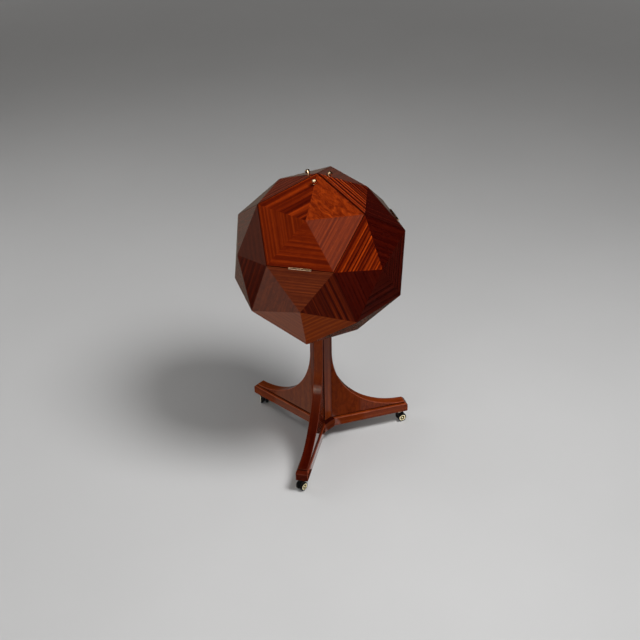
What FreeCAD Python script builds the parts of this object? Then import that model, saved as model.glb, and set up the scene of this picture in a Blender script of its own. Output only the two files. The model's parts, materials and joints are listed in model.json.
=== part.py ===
import FreeCAD, Part
import math
import os

# A bar cabinet in the form of a dodecahedron that stands on one corner, on a three-legged
# pedestal with castors. Each pentagon is raised to a shallow point and built of five mitred
# boards. The three pentagons round the top corner are flaps, hinged at their bottom edges.
# Origin: on the floor, on the pedestal's axis. The front leg and front flap point to -Y.

# Body shell
edge = 214.0
panel_rise = 40.5
board_thickness = 15.0
body_centre_height = 753.0
seat_rise = 20.0

# Flaps and the strips that they close on
flap_gap = 1.2
stop_land = 16.0
stop_lap = 9.0
stop_thickness = 8.0
stop_end_margin = 26.0
stop_clearance = 0.4

# Butt hinges
hinge_length = 72.0
knuckle_count = 5
knuckle_gap = 0.3
barrel_radius = 3.6
barrel_clearance = 0.4
pin_proud = 0.6
leaf_width = 12.0
leaf_thickness = 2.0
leaf_gap = 0.4
recess_clearance = 0.2
pin_radius = 1.8
hinge_screw_pitch = 24.0

# Countersunk wood screws
screw_head_radius = 3.2
screw_shank_radius = 1.5
screw_length = 12.0

# Fits
running_clearance = 0.05
snug_clearance = 0.02

# Knobs
knob_from_corner = 42.0
knob_stud_radius = 2.5
knob_stud_length = 9.0
knob_collar_radius = 5.5
knob_collar_thickness = 2.0
knob_neck_radius = 3.6
knob_neck_length = 3.5
knob_head_radius = 7.5
knob_head_length = 12.0
knob_head_bevel = 1.5
knob_dome_height = 0.9

# Bottle shelf and its battens
shelf_drop = 105.0
shelf_thickness = 12.0
shelf_clearance = 0.4
batten_depth = 18.0
batten_height = 18.0
batten_start_angle = 4.0
batten_end_angle = 24.0

# Tie rod that clamps the body to the pedestal
rod_radius = 6.0
rod_clearance = 0.5
rod_end = 4.0
washer_radius = 18.0
washer_thickness = 3.0
nut_width = 19.0
nut_height = 10.0
mounting_block_height = 36.0

# Pedestal
fin_thickness = 32.0
fin_reach = 36.0
fin_sweep_radius = 269.0
fin_nose = 1.5
filler_reach = 31.0
rail_width = 42.0
rail_side_height = 32.0
rail_ledge_height = 8.0
rail_end_back = 12.0
rail_end_drop = 13.0
corner_reach = 39.0

# Twin-wheel castors
castor_height = 50.0
castor_reach = 287.0
castor_trail = 12.0
castor_plate_radius = 18.0
castor_plate_thickness = 2.5
castor_screw_circle = 12.5
castor_screw_count = 3
castor_stem_radius = 4.0
castor_boss_radius = 7.5
castor_web_thickness = 7.0
castor_swivel_gap = 0.5
axle_radius = 3.0
axle_boss_radius = 8.5
axle_end_gap = 0.3
wheel_radius = 16.0
wheel_width = 10.0
wheel_gap = 0.5
wheel_bevel = 2.0
cap_radius = 13.0
cap_depth = 3.0
cap_rim_width = 3.2
cap_rim_proud = 0.8
cap_rim_bevel = 0.9
cap_dish_thickness = 1.0
cap_dome_radius = 4.5

places = {"front": -90.0, "right": 30.0, "left": 150.0}
between = {"right": -30.0, "back": 90.0, "left": 210.0}
castor_turn = {"front": -28.0, "right": 6.0, "left": -40.0}

vector = FreeCAD.Vector
golden = (1 + math.sqrt(5)) / 2
third_turn = 120.0
half_third = third_turn / 2
up = vector(0, 0, 1)
sideways = vector(0, 1, 0)
centre = vector(0, 0, body_centre_height)

# The shell's corners lie on rings at one and at golden edges from the top corner.
circumradius = edge * math.sqrt(3) * golden / 2


def ring(chord):
    """Radius and height, above the centre, of the corners at one distance from the top corner."""
    height = circumradius - chord ** 2 / (2 * circumradius)
    return math.sqrt(circumradius ** 2 - height ** 2), height


seam_radius, seam_height = ring(edge)
waist_radius, waist_height = ring(edge * golden)
waist_angle = math.degrees(math.asin(edge / 2 / waist_radius))
hinge_line = vector(waist_radius * math.cos(math.radians(waist_angle)), 0, waist_height)
hinge_tilt = math.degrees(math.atan2(hinge_line.z, hinge_line.x))

seat_height = body_centre_height - circumradius + seat_rise
rail_top = castor_height + rail_side_height + rail_ledge_height
fin_tip = fin_reach + fin_sweep_radius
rail_reach = fin_tip + rail_end_back
rod_hole_radius = rod_radius + rod_clearance
shelf_top = body_centre_height - shelf_drop
shelf_bottom = shelf_top - shelf_thickness
block_top = seat_height + mounting_block_height
everything = 2 * (rail_reach + circumradius)


def polar(radius, azimuth, height):
    angle = math.radians(azimuth)
    return vector(radius * math.cos(angle), radius * math.sin(angle), height)


def turned(shapes, azimuth):
    """Copies of shapes, turned about the pedestal's axis."""
    copies = [shape.copy() for shape in shapes]
    for copy in copies:
        copy.rotate(vector(), up, azimuth)
    return copies


def laid(shape, tilt, position):
    """A copy of a shape, turned about the sideways axis and then moved."""
    copy = shape.copy()
    copy.rotate(vector(), sideways, tilt)
    copy.translate(position)
    return copy


def sewn_solid(polygons):
    faces = [Part.Face(Part.makePolygon(points + points[:1])) for points in polygons]
    shell = Part.makeShell(faces)
    shell.sewShape()
    return Part.makeSolid(shell)


def prism(points, travel):
    return Part.Face(Part.makePolygon(points + points[:1])).extrude(travel)


def slab(low, high):
    corner = vector(-everything / 2, -everything / 2, low)
    return Part.makeBox(everything, everything, high - low, corner)


def sector(start, end):
    """All space between two upright planes that meet on the axis."""
    points = [vector(), polar(everything, start, 0), polar(everything, end, 0)]
    return prism(points, up * everything)


def turned_piece(outline, axis_point, axis):
    """A revolved solid from a closed list of edges."""
    return Part.Face(Part.Wire(outline)).revolve(axis_point, axis, 360)


def line(start, end):
    return Part.LineSegment(start, end).toShape()


def arc(start, middle, end):
    return Part.Arc(start, middle, end).toShape()


def lathe_points(pairs):
    """Points of an outline in the plane of x and z, from radius and height."""
    return [vector(radius, 0, height) for radius, height in pairs]


def open_lines(points):
    return [line(start, end) for start, end in zip(points, points[1:])]


def dome_arc(radius, foot, rise):
    """A shallow dome's outline, from its rim up to its top on the axis."""
    ball_radius = (radius ** 2 + rise ** 2) / (2 * rise)
    ball_centre = vector(0, 0, foot + rise - ball_radius)
    rim_angle = math.degrees(math.acos(radius / ball_radius))
    middle = ball_centre + polar_upright(ball_radius, (rim_angle + 90) / 2)
    return arc(vector(radius, 0, foot), middle, vector(0, 0, foot + rise))


def polar_upright(radius, angle):
    turn = math.radians(angle)
    return vector(radius * math.cos(turn), 0, radius * math.sin(turn))


# Panels of the body


def flap_corners():
    return [
        polar(0, 0, circumradius),
        polar(seam_radius, -half_third, seam_height),
        polar(waist_radius, -waist_angle, waist_height),
        polar(waist_radius, waist_angle, waist_height),
        polar(seam_radius, half_third, seam_height),
    ]


def lower_corners():
    beside = half_third - waist_angle
    return [
        polar(waist_radius, waist_angle, waist_height),
        polar(waist_radius, -waist_angle, waist_height),
        polar(waist_radius, -beside, -waist_height),
        polar(seam_radius, 0, -seam_height),
        polar(waist_radius, beside, -waist_height),
    ]


def mirrored(corners):
    return [vector(point.x, point.y, -point.z) for point in corners]


def apex_of(corners):
    middle = vector()
    for point in corners:
        middle = middle + point
    middle = middle / len(corners)
    return middle * (1 + panel_rise / middle.Length)


def facets(corners):
    """The panel's triangles, each from one edge to the raised point."""
    apex = apex_of(corners)
    return [[first, second, apex] for first, second in zip(corners, corners[1:] + corners[:1])]


def facet_distance(triangle):
    first, second, apex = triangle
    normal = (second - first).cross(apex - first)
    return abs(normal.dot(apex)) / normal.Length


def inward_scale(depth):
    """Every facet moves in by depth when the shell shrinks about its centre by this much."""
    return 1 - depth / facet_distance(facets(flap_corners())[0])


def boards(corners, gap):
    """Five boards, mitred along the panel's ridges and, a gap short, along its edges."""
    solids = []
    for first, second, apex in facets(corners):
        mitre = first.cross(second)
        apex_depth = abs(mitre.dot(apex)) / mitre.Length
        faces = []
        for scale in (1.0, inward_scale(board_thickness)):
            share = gap / (scale * apex_depth)
            shrunk = [first + (apex - first) * share, second + (apex - second) * share, apex]
            faces.append([centre + point * scale for point in shrunk])
        outer, inner = faces
        sides = [[outer[i - 1], outer[i], inner[i], inner[i - 1]] for i in range(3)]
        solids.append(sewn_solid([outer, inner] + sides))
    return solids


def hollow(depth):
    """The space inside the shell, depth in from its outer faces."""
    scale = inward_scale(depth)
    triangles = []
    for corners in (flap_corners(), lower_corners()):
        for azimuth in places.values():
            triangles += spun_facets(corners, azimuth, scale)
        for azimuth in between.values():
            triangles += spun_facets(mirrored(corners), azimuth, scale)
    return sewn_solid(triangles)


def spun_facets(corners, azimuth, scale):
    turn = FreeCAD.Rotation(up, azimuth)
    return [
        [centre + turn.multVec(point) * scale for point in triangle] for triangle in facets(corners)
    ]


# Countersunk screws, drawn with the head's flat at the origin and the point towards +z


def screw(clearance=0.0):
    head_depth = screw_head_radius - screw_shank_radius
    head = Part.makeCone(screw_head_radius + clearance, screw_shank_radius + clearance, head_depth)
    shank = Part.makeCylinder(screw_shank_radius + clearance, screw_length + clearance)
    return head.fuse(shank).removeSplitter()


def hinge_screws(side, clearance=0.0):
    """The screws of one leaf: side is 1 for the flap's leaf and -1 for the body's."""
    screws = []
    for step in (-1, 0, 1):
        copy = screw(clearance)
        if side < 0:
            copy.rotate(vector(), sideways, 180)
        inner_face = hinge_axis().z + side * leaf_gap / 2
        plate_middle = (leaf_front() - leaf_width) / 2
        copy.translate(vector(plate_middle, step * hinge_screw_pitch, inner_face))
        screws.append(copy)
    return screws


# Hinge pieces, drawn with x out along the mitre, y along the edge and z towards the flap


def hinge_axis():
    return vector(pin_proud, 0, flap_gap / 2)


def leaf_front():
    """How far out a leaf's plate reaches, clear of the other leaf's knuckles."""
    return hinge_axis().x - barrel_radius - barrel_clearance


def at_hinge(shapes):
    """Shapes laid at the middle of a flap's bottom edge, at azimuth 0."""
    return [laid(shape, -hinge_tilt, centre + hinge_line) for shape in shapes]


def leaf_levels(side):
    """Low and high level of a leaf."""
    near = hinge_axis().z + side * leaf_gap / 2
    far = near + side * leaf_thickness
    return min(near, far), max(near, far)


def hinge_leaf(side):
    low, high = leaf_levels(side)
    axis = hinge_axis()
    half = hinge_length / 2
    pitch = hinge_length / knuckle_count
    front = leaf_front()
    back_corner = vector(-leaf_width, -half, low)
    leaf = Part.makeBox(leaf_width + front, hinge_length, leaf_thickness, back_corner)
    first = 0 if side < 0 else 1
    for index in range(first, knuckle_count, 2):
        start = -half + index * pitch + knuckle_gap / 2
        length = pitch - knuckle_gap
        web = Part.makeBox(axis.x - front, length, leaf_thickness, vector(front, start, low))
        foot = vector(axis.x, start, axis.z)
        leaf = leaf.fuse([web, Part.makeCylinder(barrel_radius, length, foot, sideways)])
    clearance = snug_clearance if side < 0 else running_clearance
    bore_foot = vector(axis.x, -half, axis.z)
    bore = Part.makeCylinder(pin_radius + clearance, hinge_length, bore_foot, sideways)
    return leaf.cut([bore] + hinge_screws(side, snug_clearance)).removeSplitter()


def hinge_pin():
    axis = hinge_axis()
    foot = vector(axis.x, -hinge_length / 2, axis.z)
    return Part.makeCylinder(pin_radius, hinge_length, foot, sideways)


def hinge_cuts(side):
    """What the barrel, the leaf and its screws take out of the wood on their side."""
    low, high = leaf_levels(side)
    axis = hinge_axis()
    half = hinge_length / 2 + recess_clearance
    depth = leaf_width + recess_clearance
    if side < 0:
        bottom, top = low, high + leaf_thickness
    else:
        bottom, top = low - leaf_thickness, high
    reach = depth + axis.x + barrel_radius
    recess = Part.makeBox(reach, 2 * half, top - bottom, vector(-depth, -half, bottom))
    groove_radius = barrel_radius + barrel_clearance
    groove = Part.makeCylinder(groove_radius, 2 * half, axis - sideways * half, sideways)
    return at_hinge([recess, groove] + hinge_screws(side, snug_clearance))


# Knobs, drawn upright with the collar's seat at the origin


def knob():
    head_foot = knob_collar_thickness + knob_neck_length
    shoulder = head_foot + knob_head_length - knob_dome_height
    points = lathe_points(
        [
            (0, shoulder + knob_dome_height),
            (0, -knob_stud_length),
            (knob_stud_radius, -knob_stud_length),
            (knob_stud_radius, 0),
            (knob_collar_radius, 0),
            (knob_collar_radius, knob_collar_thickness),
            (knob_neck_radius, knob_collar_thickness),
            (knob_neck_radius, head_foot),
            (knob_head_radius - knob_head_bevel, head_foot),
            (knob_head_radius, head_foot + knob_head_bevel),
            (knob_head_radius, shoulder),
        ]
    )
    dome = dome_arc(knob_head_radius, shoulder, knob_dome_height)
    return turned_piece(open_lines(points) + [dome], vector(), up)


def knob_seat():
    """Where the knob's seat lies on the flap at azimuth 0, and how far the knob leans out.

    The knob stands square on the ridge that runs from the flap's tip to its apex.
    """
    corners = flap_corners()
    tip = corners[0]
    apex = apex_of(corners)
    ridge = (apex - tip).normalize()
    normal = vector(-ridge.z, 0, ridge.x)
    side_facet = facets(corners)[0]
    facet_normal = (side_facet[1] - side_facet[0]).cross(apex - side_facet[0]).normalize()
    facet_slope = math.tan(math.acos(min(1.0, abs(facet_normal.dot(normal)))))
    seat = tip + ridge * knob_from_corner - normal * knob_collar_radius * facet_slope
    lean = math.degrees(math.atan2(normal.x, normal.z))
    return centre + seat, lean


def knob_cuts():
    """Spot face and stud hole of the knob."""
    seat, lean = knob_seat()
    face = Part.makeCylinder(knob_collar_radius + recess_clearance, knob_neck_length)
    hole_depth = knob_stud_length + recess_clearance
    hole_radius = knob_stud_radius + snug_clearance
    hole = Part.makeCylinder(hole_radius, hole_depth, vector(0, 0, -hole_depth))
    return [laid(face, lean, seat), laid(hole, lean, seat)]


# Strips inside the upper panels that the flaps' edges close on


def stop_strip(side):
    """One strip on the upper panel at azimuth 0, along its top edge on one side."""
    scale = inward_scale(board_thickness)
    panel = mirrored(lower_corners())
    neighbour_turn = FreeCAD.Rotation(up, side * half_third)
    flap = [neighbour_turn.multVec(point) for point in flap_corners()]
    beside = half_third - waist_angle
    start = polar(seam_radius, 0, seam_height) * scale
    end = polar(waist_radius, side * beside, waist_height) * scale
    along = (end - start).normalize()
    middle = (start + end) / 2
    on_panel = (apex_of(panel) * scale - middle).normalize()
    on_flap = (apex_of(flap) * scale - middle).normalize()
    off_panel = inward_normal(along, on_panel, middle)
    off_flap = inward_normal(along, on_flap, middle)
    root = on_panel * (stop_clearance / on_panel.cross(on_flap).Length)
    land = on_panel * stop_land
    lap = root + on_flap * stop_lap
    section = [land, root, lap, lap + off_flap * stop_thickness, land + off_panel * stop_thickness]
    foot = centre + start + along * stop_end_margin
    length = (end - start).Length - 2 * stop_end_margin
    return prism([foot + point for point in section], along * length)


def inward_normal(along, across, point):
    normal = along.cross(across).normalize()
    return normal if normal.dot(point) < 0 else -normal


# Inside the body


def bottle_shelf():
    return hollow(board_thickness + shelf_clearance).common(slab(shelf_bottom, shelf_top))


def shelf_battens():
    """Short bars on the inside of the lower panels, under the shelf."""
    level = hollow(board_thickness).common(slab(shelf_bottom - batten_height, shelf_bottom))
    room = hollow(board_thickness + batten_depth)
    bars = []
    for azimuth in places.values():
        for side in (-1, 1):
            ends = (azimuth + side * batten_start_angle, azimuth + side * batten_end_angle)
            bars.append(level.common(sector(*sorted(ends))).cut(room))
    return bars


def mounting_block():
    block = hollow(board_thickness).common(slab(seat_height, block_top))
    return block.cut(rod_hole())


def rod_hole():
    return Part.makeCylinder(rod_hole_radius, everything)


def washer(bottom):
    ring_plate = Part.makeCylinder(washer_radius, washer_thickness, vector(0, 0, bottom))
    return ring_plate.cut(rod_hole())


def nut(bottom):
    corner_radius = nut_width / math.sqrt(3)
    hexagon = [polar(corner_radius, corner * 60, bottom) for corner in range(6)]
    bore = Part.makeCylinder(rod_radius + snug_clearance, everything)
    return prism(hexagon, up * nut_height).cut(bore)


def tie_rod():
    bottom = castor_height - washer_thickness - nut_height - rod_end
    top = block_top + washer_thickness + nut_height + rod_end
    return Part.makeCylinder(rod_radius, top - bottom, vector(0, 0, bottom))


# Pedestal, each piece drawn at azimuth 0


def leg_fin():
    """A board whose edge drops down the post and sweeps out in a quarter circle to the foot."""
    foot = rail_top + fin_nose
    sweep_centre = vector(fin_tip, 0, foot + fin_sweep_radius)
    middle = sweep_centre + polar_upright(fin_sweep_radius, 225)
    points = lathe_points(
        [
            (fin_reach, sweep_centre.z),
            (fin_reach, everything),
            (rod_hole_radius, everything),
            (rod_hole_radius, rail_top),
            (fin_tip, rail_top),
            (fin_tip, foot),
        ]
    )
    outline = open_lines(points) + [arc(points[-1], middle, points[0])]
    face = Part.Face(Part.Wire(outline))
    face.translate(sideways * (-fin_thickness / 2))
    board = face.extrude(sideways * fin_thickness).common(slab(rail_top, seat_height))
    return board.common(sector(-half_third, half_third))


def filler_strip():
    """A three-sided strip in the corner between two fins."""
    inner = fin_thickness / 2 / math.sin(math.radians(half_third))
    half_width = (filler_reach - inner) * math.tan(math.radians(half_third))
    points = [
        vector(inner, 0, rail_top),
        vector(filler_reach, -half_width, rail_top),
        vector(filler_reach, half_width, rail_top),
    ]
    return prism(points, up * (seat_height - rail_top))


def ledge_section(half_width, half_top):
    """Section of a rail across its length, with its two sloping ledges."""
    shoulder = castor_height + rail_side_height
    return [
        vector(0, -half_width, castor_height),
        vector(0, half_width, castor_height),
        vector(0, half_width, shoulder),
        vector(0, half_top, rail_top),
        vector(0, -half_top, rail_top),
        vector(0, -half_width, shoulder),
    ]


def plain_rail():
    """A foot rail before its screw holes, mitred to the other two at the middle."""
    bar = prism(ledge_section(rail_width / 2, fin_thickness / 2), vector(rail_reach, 0, 0))
    side = lathe_points(
        [
            (rod_hole_radius, castor_height),
            (rail_reach, castor_height),
            (rail_reach, rail_top - rail_end_drop),
            (fin_tip, rail_top),
            (rod_hole_radius, rail_top),
        ]
    )
    profile = prism([point - sideways * rail_width for point in side], sideways * 2 * rail_width)
    return bar.common(profile).common(sector(-half_third, half_third))


def foot_rail():
    holes = at_castor(castor_screws(snug_clearance), 0)
    return plain_rail().cut(holes)


def corner_block():
    """Fills the corner between two rails, under a filler strip, with the rails' ledge."""
    shoulder = castor_height + rail_side_height
    rail_corner = rail_width / 2 / math.sin(math.radians(half_third))
    half_width = corner_reach * math.tan(math.radians(half_third)) - rail_corner
    side = lathe_points(
        [
            (fin_thickness / 2, castor_height),
            (corner_reach, castor_height),
            (corner_reach, shoulder),
            (filler_reach, rail_top),
            (fin_thickness / 2, rail_top),
        ]
    )
    block = prism([point - sideways * half_width for point in side], sideways * 2 * half_width)
    rails = turned([plain_rail()], half_third) + turned([plain_rail()], -half_third)
    return block.cut(rails)


# Castors, drawn on the swivel axis with the wheels trailing towards +x


def at_castor(shapes, turn):
    """Shapes turned about the swivel axis and moved out to the foot at azimuth 0."""
    copies = turned(shapes, turn)
    for copy in copies:
        copy.translate(vector(castor_reach, 0, 0))
    return copies


def castor_plate():
    """Round plate with the swivel's stem."""
    foot = castor_height - castor_plate_thickness
    stem_foot = castor_boss_foot() + castor_swivel_gap
    plate = Part.makeCylinder(castor_plate_radius, castor_plate_thickness, vector(0, 0, foot))
    stem = Part.makeCylinder(castor_stem_radius, foot - stem_foot, vector(0, 0, stem_foot))
    return plate.fuse(stem).cut(castor_screws(snug_clearance)).removeSplitter()


def castor_screws(clearance=0.0):
    screws = []
    for step in range(castor_screw_count):
        copy = screw(clearance)
        azimuth = 180 + step * 360 / castor_screw_count
        copy.translate(polar(castor_screw_circle, azimuth, castor_height - castor_plate_thickness))
        screws.append(copy)
    return screws


def castor_boss_foot():
    return 2 * wheel_radius + castor_swivel_gap


def tangent_point(point, circle_centre, radius, side):
    """Where a line from a point touches a circle in the plane of x and z."""
    away = point - circle_centre
    turn = math.degrees(math.atan2(away.z, away.x))
    swing = math.degrees(math.acos(radius / away.Length))
    return circle_centre + polar_upright(radius, turn + side * swing)


def castor_body():
    """Swivel boss and the web between the wheels, which narrows to the axle's boss."""
    top = castor_height - castor_plate_thickness - castor_swivel_gap
    axle = vector(castor_trail, 0, wheel_radius)
    left = vector(-castor_boss_radius, 0, top)
    right = vector(castor_boss_radius, 0, top)
    left_touch = tangent_point(left, axle, axle_boss_radius, 1)
    right_touch = tangent_point(right, axle, axle_boss_radius, -1)
    lowest = axle - up * axle_boss_radius
    outline = [
        line(right, left),
        line(left, left_touch),
        arc(left_touch, lowest, right_touch),
        line(right_touch, right),
    ]
    face = Part.Face(Part.Wire(outline))
    face.translate(sideways * (-castor_web_thickness / 2))
    web = face.extrude(sideways * castor_web_thickness)
    boss_foot = castor_boss_foot()
    boss = Part.makeCylinder(castor_boss_radius, top - boss_foot, vector(0, 0, boss_foot))
    stem_hole = Part.makeCylinder(
        castor_stem_radius + running_clearance, top - boss_foot, vector(0, 0, boss_foot)
    )
    axle_hole = axle_rod(axle_radius + snug_clearance, castor_web_thickness)
    return web.fuse(boss).cut([stem_hole, axle_hole]).removeSplitter()


def axle_rod(radius, length):
    foot = vector(castor_trail, -length / 2, wheel_radius)
    return Part.makeCylinder(radius, length, foot, sideways)


def wheel_inner_face():
    return castor_web_thickness / 2 + wheel_gap


def wheel_outer_face():
    return wheel_inner_face() + wheel_width


def castor_axle():
    return axle_rod(axle_radius, 2 * (wheel_outer_face() - cap_depth - axle_end_gap))


def on_axle(outline, side):
    """A piece turned about the axle, on one side of the web."""
    piece = turned_piece(outline, vector(), up)
    piece.rotate(vector(), vector(1, 0, 0), -90 * side)
    piece.translate(vector(castor_trail, 0, wheel_radius))
    return piece


def castor_wheel(side):
    """A wheel with bevelled shoulders and a recess for its cap."""
    inner = wheel_inner_face()
    outer = wheel_outer_face()
    bore = axle_radius + running_clearance
    recess = cap_radius + snug_clearance
    points = lathe_points(
        [
            (wheel_radius - wheel_bevel, outer),
            (recess, outer),
            (recess, outer - cap_depth),
            (bore, outer - cap_depth),
            (bore, inner),
            (wheel_radius - wheel_bevel, inner),
            (wheel_radius, inner + wheel_bevel),
            (wheel_radius, outer - wheel_bevel),
        ]
    )
    return on_axle(open_lines(points + points[:1]), side)


def castor_cap(side):
    """A dished cap with a raised, bevelled rim and a domed middle."""
    floor = wheel_outer_face() - cap_depth
    dish = floor + cap_dish_thickness
    rim_top = wheel_outer_face() + cap_rim_proud
    points = lathe_points(
        [
            (0, wheel_outer_face()),
            (0, floor),
            (cap_radius, floor),
            (cap_radius, wheel_outer_face()),
            (cap_radius - cap_rim_bevel, rim_top),
            (cap_radius - cap_rim_width + cap_rim_bevel, rim_top),
            (cap_radius - cap_rim_width, dish),
            (cap_dome_radius, dish),
        ]
    )
    dome = dome_arc(cap_dome_radius, dish, wheel_outer_face() - dish)
    return on_axle(open_lines(points) + [dome], side)


# Nodes: each name has a list of solids


def fixed_panels():
    nodes = {}
    seat_cuts = [slab(0, seat_height), rod_hole()]
    for place, azimuth in between.items():
        nodes["upper_panel_" + place] = turned(boards(mirrored(lower_corners()), 0), azimuth)
        bottom = [piece.cut(seat_cuts) for piece in boards(mirrored(flap_corners()), 0)]
        nodes["bottom_panel_" + place] = turned(bottom, azimuth)
    for place, azimuth in places.items():
        lower = boards(lower_corners(), 0)
        lower[0] = lower[0].cut(hinge_cuts(-1))
        nodes["lower_panel_" + place] = turned(lower, azimuth)
    return nodes


def flap_nodes():
    nodes = {}
    seat, lean = knob_seat()
    for place, azimuth in places.items():
        flap = boards(flap_corners(), flap_gap)
        flap[2] = flap[2].cut(hinge_cuts(1))
        for beside_knob in (0, -1):
            flap[beside_knob] = flap[beside_knob].cut(knob_cuts())
        nodes["flap_" + place] = turned(flap, azimuth)
        nodes["knob_" + place] = turned([laid(knob(), lean, seat)], azimuth)
        nodes["hinge_flap_leaf_" + place] = turned(at_hinge([hinge_leaf(1)]), azimuth)
        nodes["hinge_flap_screws_" + place] = turned(at_hinge(hinge_screws(1)), azimuth)
    return nodes


def all_round(solids, azimuths):
    return [copy for azimuth in azimuths.values() for copy in turned(solids, azimuth)]


def body_fittings():
    strips = [stop_strip(-1), stop_strip(1)]
    return {
        "hinge_body_leaves": all_round(at_hinge([hinge_leaf(-1)]), places),
        "hinge_body_screws": all_round(at_hinge(hinge_screws(-1)), places),
        "hinge_pins": all_round(at_hinge([hinge_pin()]), places),
        "flap_stop_strips": all_round(strips, between),
        "bottle_shelf": [bottle_shelf()],
        "shelf_battens": shelf_battens(),
        "mounting_block": [mounting_block()],
        "tie_rod": [tie_rod()],
        "tie_rod_washers": [washer(block_top), washer(castor_height - washer_thickness)],
        "tie_rod_nuts": [
            nut(block_top + washer_thickness),
            nut(castor_height - washer_thickness - nut_height),
        ],
    }


def pedestal_nodes():
    nodes = {}
    for place, azimuth in places.items():
        nodes["leg_fin_" + place] = turned([leg_fin()], azimuth)
        nodes["foot_rail_" + place] = turned([foot_rail()], azimuth)
    nodes["post_filler_strips"] = all_round([filler_strip()], between)
    nodes["foot_corner_blocks"] = all_round([corner_block()], between)
    return nodes


def castor_nodes():
    nodes = {
        "castor_plates": all_round(at_castor([castor_plate()], 0), places),
        "castor_screws": all_round(at_castor(castor_screws(), 0), places),
    }
    for place, azimuth in places.items():
        pieces = {"body": castor_body(), "axle": castor_axle()}
        for name, side in (("left", 1), ("right", -1)):
            pieces[name + "_wheel"] = castor_wheel(side)
            pieces[name + "_cap"] = castor_cap(side)
        for name, piece in pieces.items():
            placed = at_castor([piece], castor_turn[place])
            nodes[place + "_castor_" + name] = turned(placed, azimuth)
    return nodes


def main():
    os.makedirs("parts", exist_ok=True)
    nodes = {}
    for group in (fixed_panels, flap_nodes, body_fittings, pedestal_nodes, castor_nodes):
        nodes.update(group())
    for name, solids in nodes.items():
        Part.makeCompound(solids).exportStep("parts/" + name + ".step")


main()
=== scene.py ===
import bmesh
import bpy
import json
import math
from mathutils import Matrix, Vector


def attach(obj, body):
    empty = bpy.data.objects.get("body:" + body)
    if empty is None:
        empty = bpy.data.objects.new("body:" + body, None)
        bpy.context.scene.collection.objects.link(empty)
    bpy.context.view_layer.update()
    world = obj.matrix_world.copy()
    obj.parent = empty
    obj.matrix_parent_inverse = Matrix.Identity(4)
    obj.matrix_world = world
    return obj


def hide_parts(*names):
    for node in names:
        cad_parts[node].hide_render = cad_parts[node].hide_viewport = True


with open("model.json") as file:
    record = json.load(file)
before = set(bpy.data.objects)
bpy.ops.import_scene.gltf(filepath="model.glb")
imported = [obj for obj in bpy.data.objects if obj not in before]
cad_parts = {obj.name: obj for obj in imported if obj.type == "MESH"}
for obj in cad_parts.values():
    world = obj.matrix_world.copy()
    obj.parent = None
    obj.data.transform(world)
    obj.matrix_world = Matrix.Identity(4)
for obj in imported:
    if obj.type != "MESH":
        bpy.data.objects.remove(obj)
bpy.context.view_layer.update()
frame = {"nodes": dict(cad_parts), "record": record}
nodes = frame["nodes"]
joints = {joint["name"]: joint for joint in frame["record"]["behaviour"]["joints"]}

# The body's geometry, in metres: a dodecahedron on one corner, each pentagon raised to a point
EDGE = 0.214
RISE = 0.0405
CENTRE = Vector((0, 0, 0.753))
GOLDEN = (1 + math.sqrt(5)) / 2
REACH = EDGE * math.sqrt(3) * GOLDEN / 2
KNOB_FROM_CORNER = 0.042

# The azimuths of the flaps and legs, and of the panels between them
PLACES = {"front": -90.0, "right": 30.0, "left": 150.0}
BETWEEN = {"right": -30.0, "back": 90.0, "left": 210.0}

# Pedestal sizes that the grain follows
FIN_REACH = 0.036
SWEEP = 0.269
RAIL_TOP = 0.0900
FIN_FOOT = 0.0915


def polar(radius, azimuth, height):
    a = math.radians(azimuth)
    return Vector((radius * math.cos(a), radius * math.sin(a), height))


def towards(azimuth, elevation):
    e = math.radians(elevation)
    return polar(math.cos(e), azimuth, math.sin(e))


def ring(chord):
    """The radius and height of the corners that lie one chord away from the top corner."""
    height = REACH - chord ** 2 / (2 * REACH)
    return math.sqrt(REACH ** 2 - height ** 2), height


SEAM, SEAM_Z = ring(EDGE)
WAIST, WAIST_Z = ring(EDGE * GOLDEN)
WAIST_AZ = math.degrees(math.asin(EDGE / 2 / WAIST))


def flap_corners(azimuth, flip):
    """A pentagon at the top corner or, with a flip of -1, at the bottom corner."""
    points = [
        polar(0, 0, REACH),
        polar(SEAM, azimuth - 60, SEAM_Z),
        polar(WAIST, azimuth - WAIST_AZ, WAIST_Z),
        polar(WAIST, azimuth + WAIST_AZ, WAIST_Z),
        polar(SEAM, azimuth + 60, SEAM_Z),
    ]
    return [Vector((p.x, p.y, flip * p.z)) for p in points]


def side_corners(azimuth, flip):
    """A pentagon below a flap or, with a flip of -1, between two flaps."""
    beside = 60 - WAIST_AZ
    points = [
        polar(WAIST, azimuth + WAIST_AZ, WAIST_Z),
        polar(WAIST, azimuth - WAIST_AZ, WAIST_Z),
        polar(WAIST, azimuth - beside, -WAIST_Z),
        polar(SEAM, azimuth, -SEAM_Z),
        polar(WAIST, azimuth + beside, -WAIST_Z),
    ]
    return [Vector((p.x, p.y, flip * p.z)) for p in points]


def apex_of(corners):
    middle = sum(corners, Vector()) / len(corners)
    return middle * (1 + RISE / middle.length)


# The leaves of veneer, in the order of each panel's edges: how light each leaf is, partly the veneer's own
# tone and partly painted light and shade, darker on most leaves facing right and lighter on some lower front
# leaves that face down
TONE_WITH_PAINTED_LIGHT = {
    "flap_front": (0.9, 1.1, 1.05, 1.1, 1.4),
    "flap_right": (0.76, 0.23, 0.5, 0.7, 0.7),
    "flap_left": (1.12, 0.9, 0.8, 0.95, 1.0),
    "lower_panel_front": (1.2, 1.0, 1.5, 1.9, 0.63),
    "upper_panel_right": (0.37, 0.36, 0.85, 0.27, 0.34),
    "upper_panel_left": (1.1, 0.9, 0.9, 0.6, 0.62),
    "bottom_panel_right": (1.0, 1.7, 1.9, 1.0, 1.0),
}
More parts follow.
